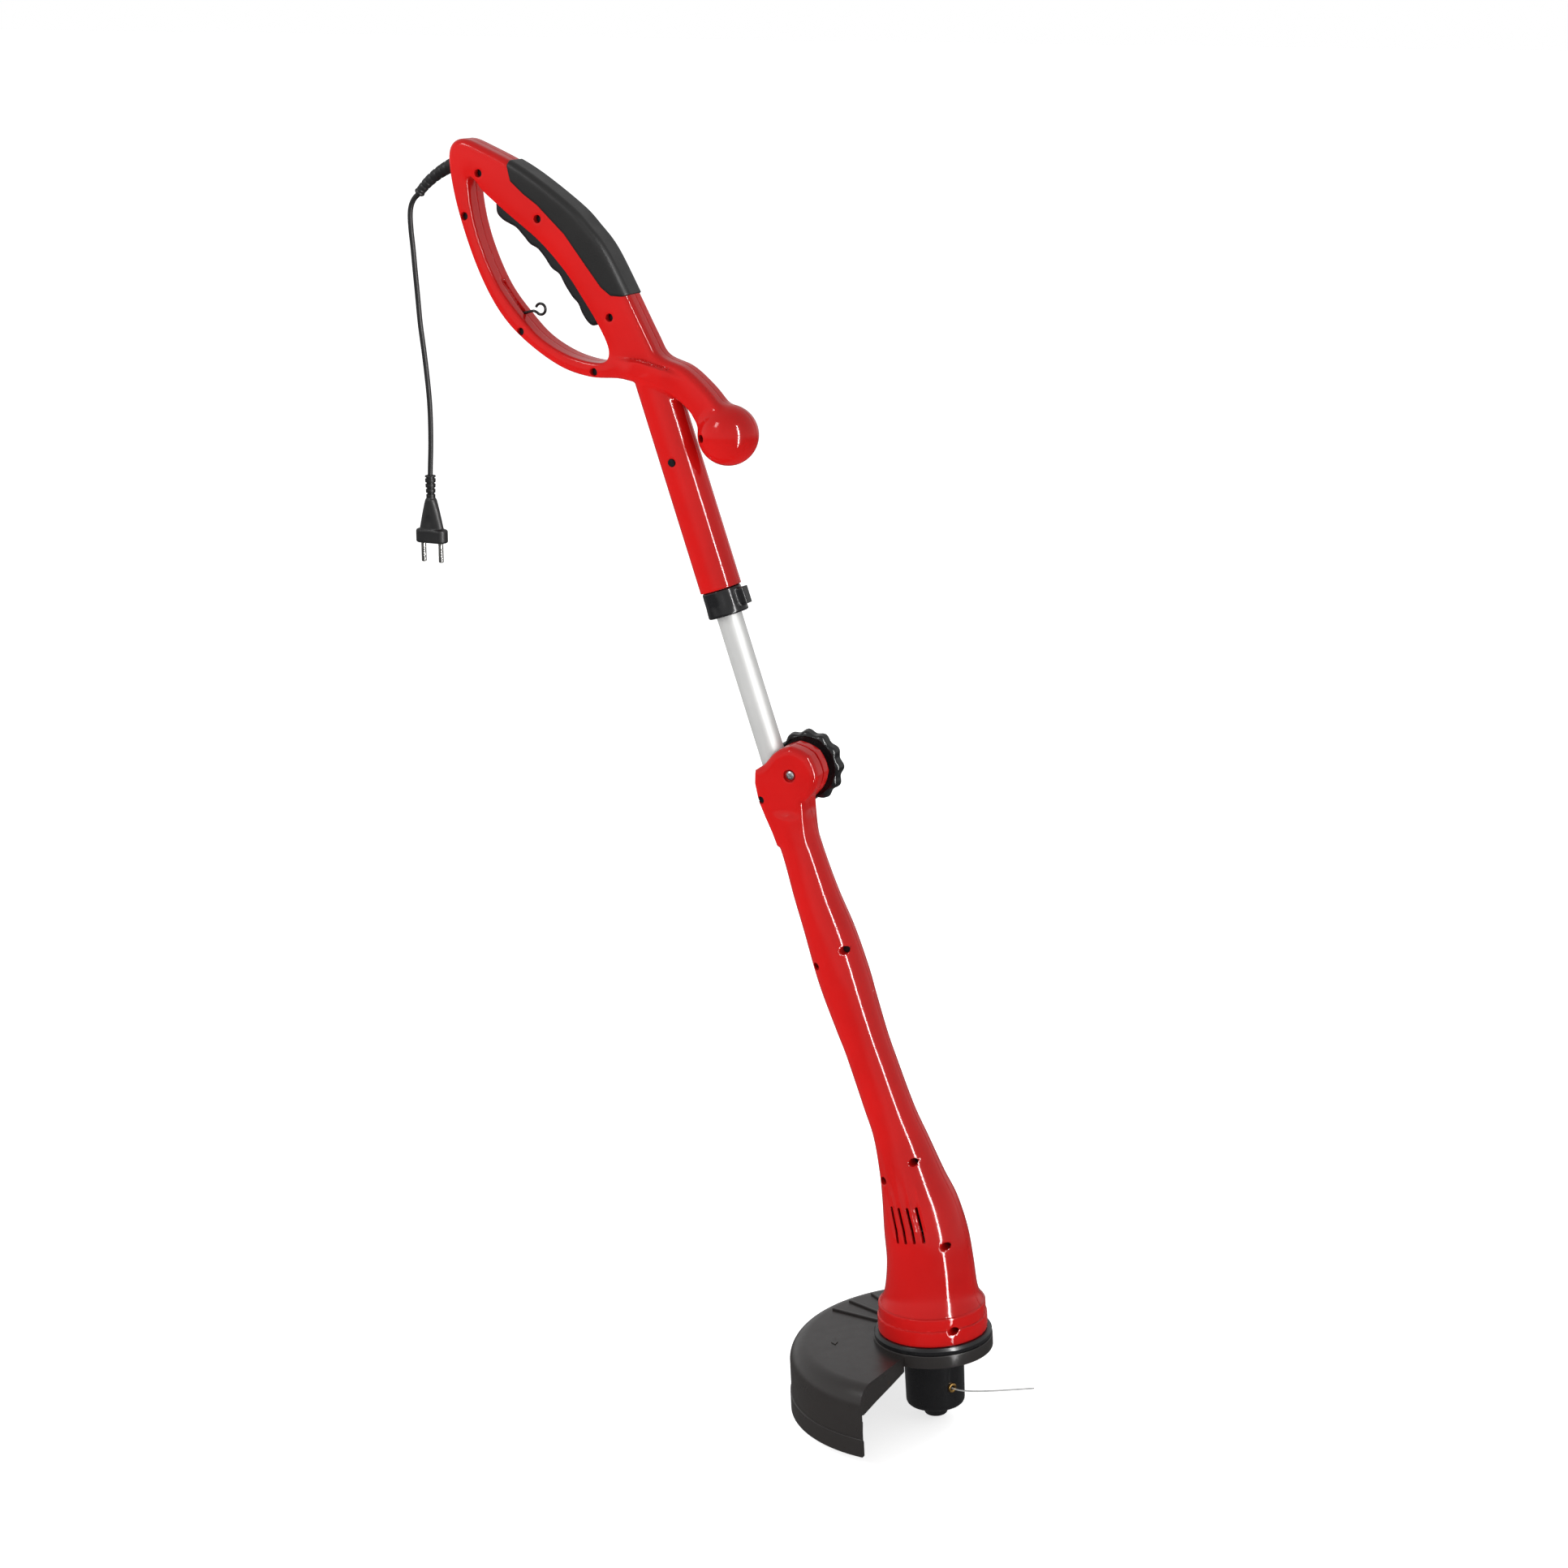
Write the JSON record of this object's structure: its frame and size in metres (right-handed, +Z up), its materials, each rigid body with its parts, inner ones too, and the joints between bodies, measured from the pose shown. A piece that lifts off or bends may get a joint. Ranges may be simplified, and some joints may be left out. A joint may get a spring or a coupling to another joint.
{
  "type": "string trimmer",
  "caption": "Corded electric string trimmer with a closed rear handle, ball foregrip, telescopic shaft, tilting motor head, rear guard and bump-feed spool.",
  "frame": {"origin": "middle of the rear grip, where the rear hand holds it", "axes": "+Z up and along the longest side, +X forwards, away from the user, +Y to the user's left"},
  "size_m": [0.6482, 0.274, 1.1832],
  "materials": {
    "red_plastic": "glossy moulded plastic",
    "grip_rubber": "matte soft-touch rubber",
    "black_plastic": "fine moulded grain",
    "switch_plastic": "satin",
    "guard_plastic": "satin moulded plastic",
    "mains_pvc": "soft matte sheath",
    "wire_sleeve": "sleeved wires",
    "capacitor_case": "moulded case",
    "tube_alloy": "satin drawn tube",
    "steel": "zinc-plated",
    "screw_black": "black oxide",
    "plated_pins": "nickel-plated",
    "core_steel": "stacked laminations",
    "copper": "enamelled copper",
    "fan_plastic": "plain moulded",
    "brass": "turned",
    "line_nylon": "translucent nylon"
  },
  "bodies": {
    "handle": {"handle_near_shell": "red_plastic", "handle_far_shell": "red_plastic", "grip_overmould": "grip_rubber", "handle_screws": "screw_black", "switch_body": "black_plastic", "trigger_pin": "steel", "trigger_spring": "steel", "cable_clamp": "black_plastic", "strain_relief": "mains_pvc", "mains_cord": "mains_pvc", "plug_body": "mains_pvc", "plug_pins": "plated_pins", "cord_hook": "black_plastic", "shaft_bush_lower": "black_plastic", "shaft_bush_upper": "black_plastic", "bush_screw": "screw_black", "handle_wiring": "wire_sleeve", "suppression_capacitor": "capacitor_case"},
    "trigger": {"trigger": "black_plastic"},
    "plunger": {"switch_plunger": "switch_plastic"},
    "collar": {"twist_collar": "black_plastic"},
    "tube": {"inner_tube": "tube_alloy", "tilt_knuckle": "black_plastic", "knuckle_pin": "steel", "coiled_lead": "mains_pvc"},
    "head": {"motor_housing_near": "red_plastic", "motor_housing_far": "red_plastic", "housing_screws": "screw_black", "motor_lead": "mains_pvc", "pivot_bolt": "steel", "field_core": "core_steel", "field_windings": "copper", "brush_holders": "black_plastic", "upper_bearing": "steel", "lower_bearing": "steel", "motor_bridge": "black_plastic", "flange_ring": "black_plastic", "guard": "guard_plastic", "guard_screws": "steel", "line_cutter_blade": "screw_black", "blade_screws": "steel"},
    "knob": {"tilt_knob": "black_plastic", "knob_nut": "steel"},
    "rotor": {"motor_shaft": "steel", "armature": "core_steel", "commutator": "copper", "cooling_fan": "fan_plastic", "spool_housing": "black_plastic", "line_eyelet": "brass", "cutting_line": "line_nylon"},
    "reel": {"line_reel": "black_plastic", "wound_line": "line_nylon", "bump_button": "black_plastic", "bump_spring": "steel"}
  },
  "joints": [
    {"name": "trigger_press", "type": "hinge", "parent": "handle", "child": "trigger", "pos_m": [-0.06903, 0, 0.04075], "axis": [0, -1, 0], "range_deg": [0, 3], "stiffness_Nm_per_rad": 6, "springref_deg": -5.73},
    {"name": "plunger_slide", "type": "slide", "parent": "handle", "child": "plunger", "axis": [0.7944, 0, 0.6074], "range_m": [0, 0.003]},
    {"name": "collar_twist", "type": "hinge", "parent": "handle", "child": "collar", "pos_m": [0.15346, 0, -0.32896], "axis": [-0.3256, 0, 0.9455], "range_deg": [0, 70]},
    {"name": "tube_slide", "type": "slide", "parent": "handle", "child": "tube", "axis": [-0.3256, 0, 0.9455], "range_m": [0, 0.08]},
    {"name": "head_tilt", "type": "hinge", "parent": "tube", "child": "head", "pos_m": [0.2263, 0, -0.48368], "axis": [0, 1, 0], "range_deg": [0, 40]},
    {"name": "knob_turn", "type": "hinge", "parent": "head", "child": "knob", "pos_m": [0.2263, 0.024, -0.48368], "axis": [0, 1, 0], "continuous": true},
    {"name": "spool_spin", "type": "hinge", "parent": "head", "child": "rotor", "pos_m": [0.37045, 0, -1.03689], "axis": [-0.0523, 0, 0.9986], "continuous": true},
    {"name": "bump_feed", "type": "slide", "parent": "rotor", "child": "reel", "axis": [-0.0523, 0, 0.9986], "range_m": [0, 0.005], "stiffness_N_per_m": 1000, "springref_m": -0.005, "deforming": ["bump_spring"]}
  ],
  "couplings": [
    {"joint": "plunger_slide", "follows": "trigger_press", "m_per_rad": 0.0573}
  ]
}
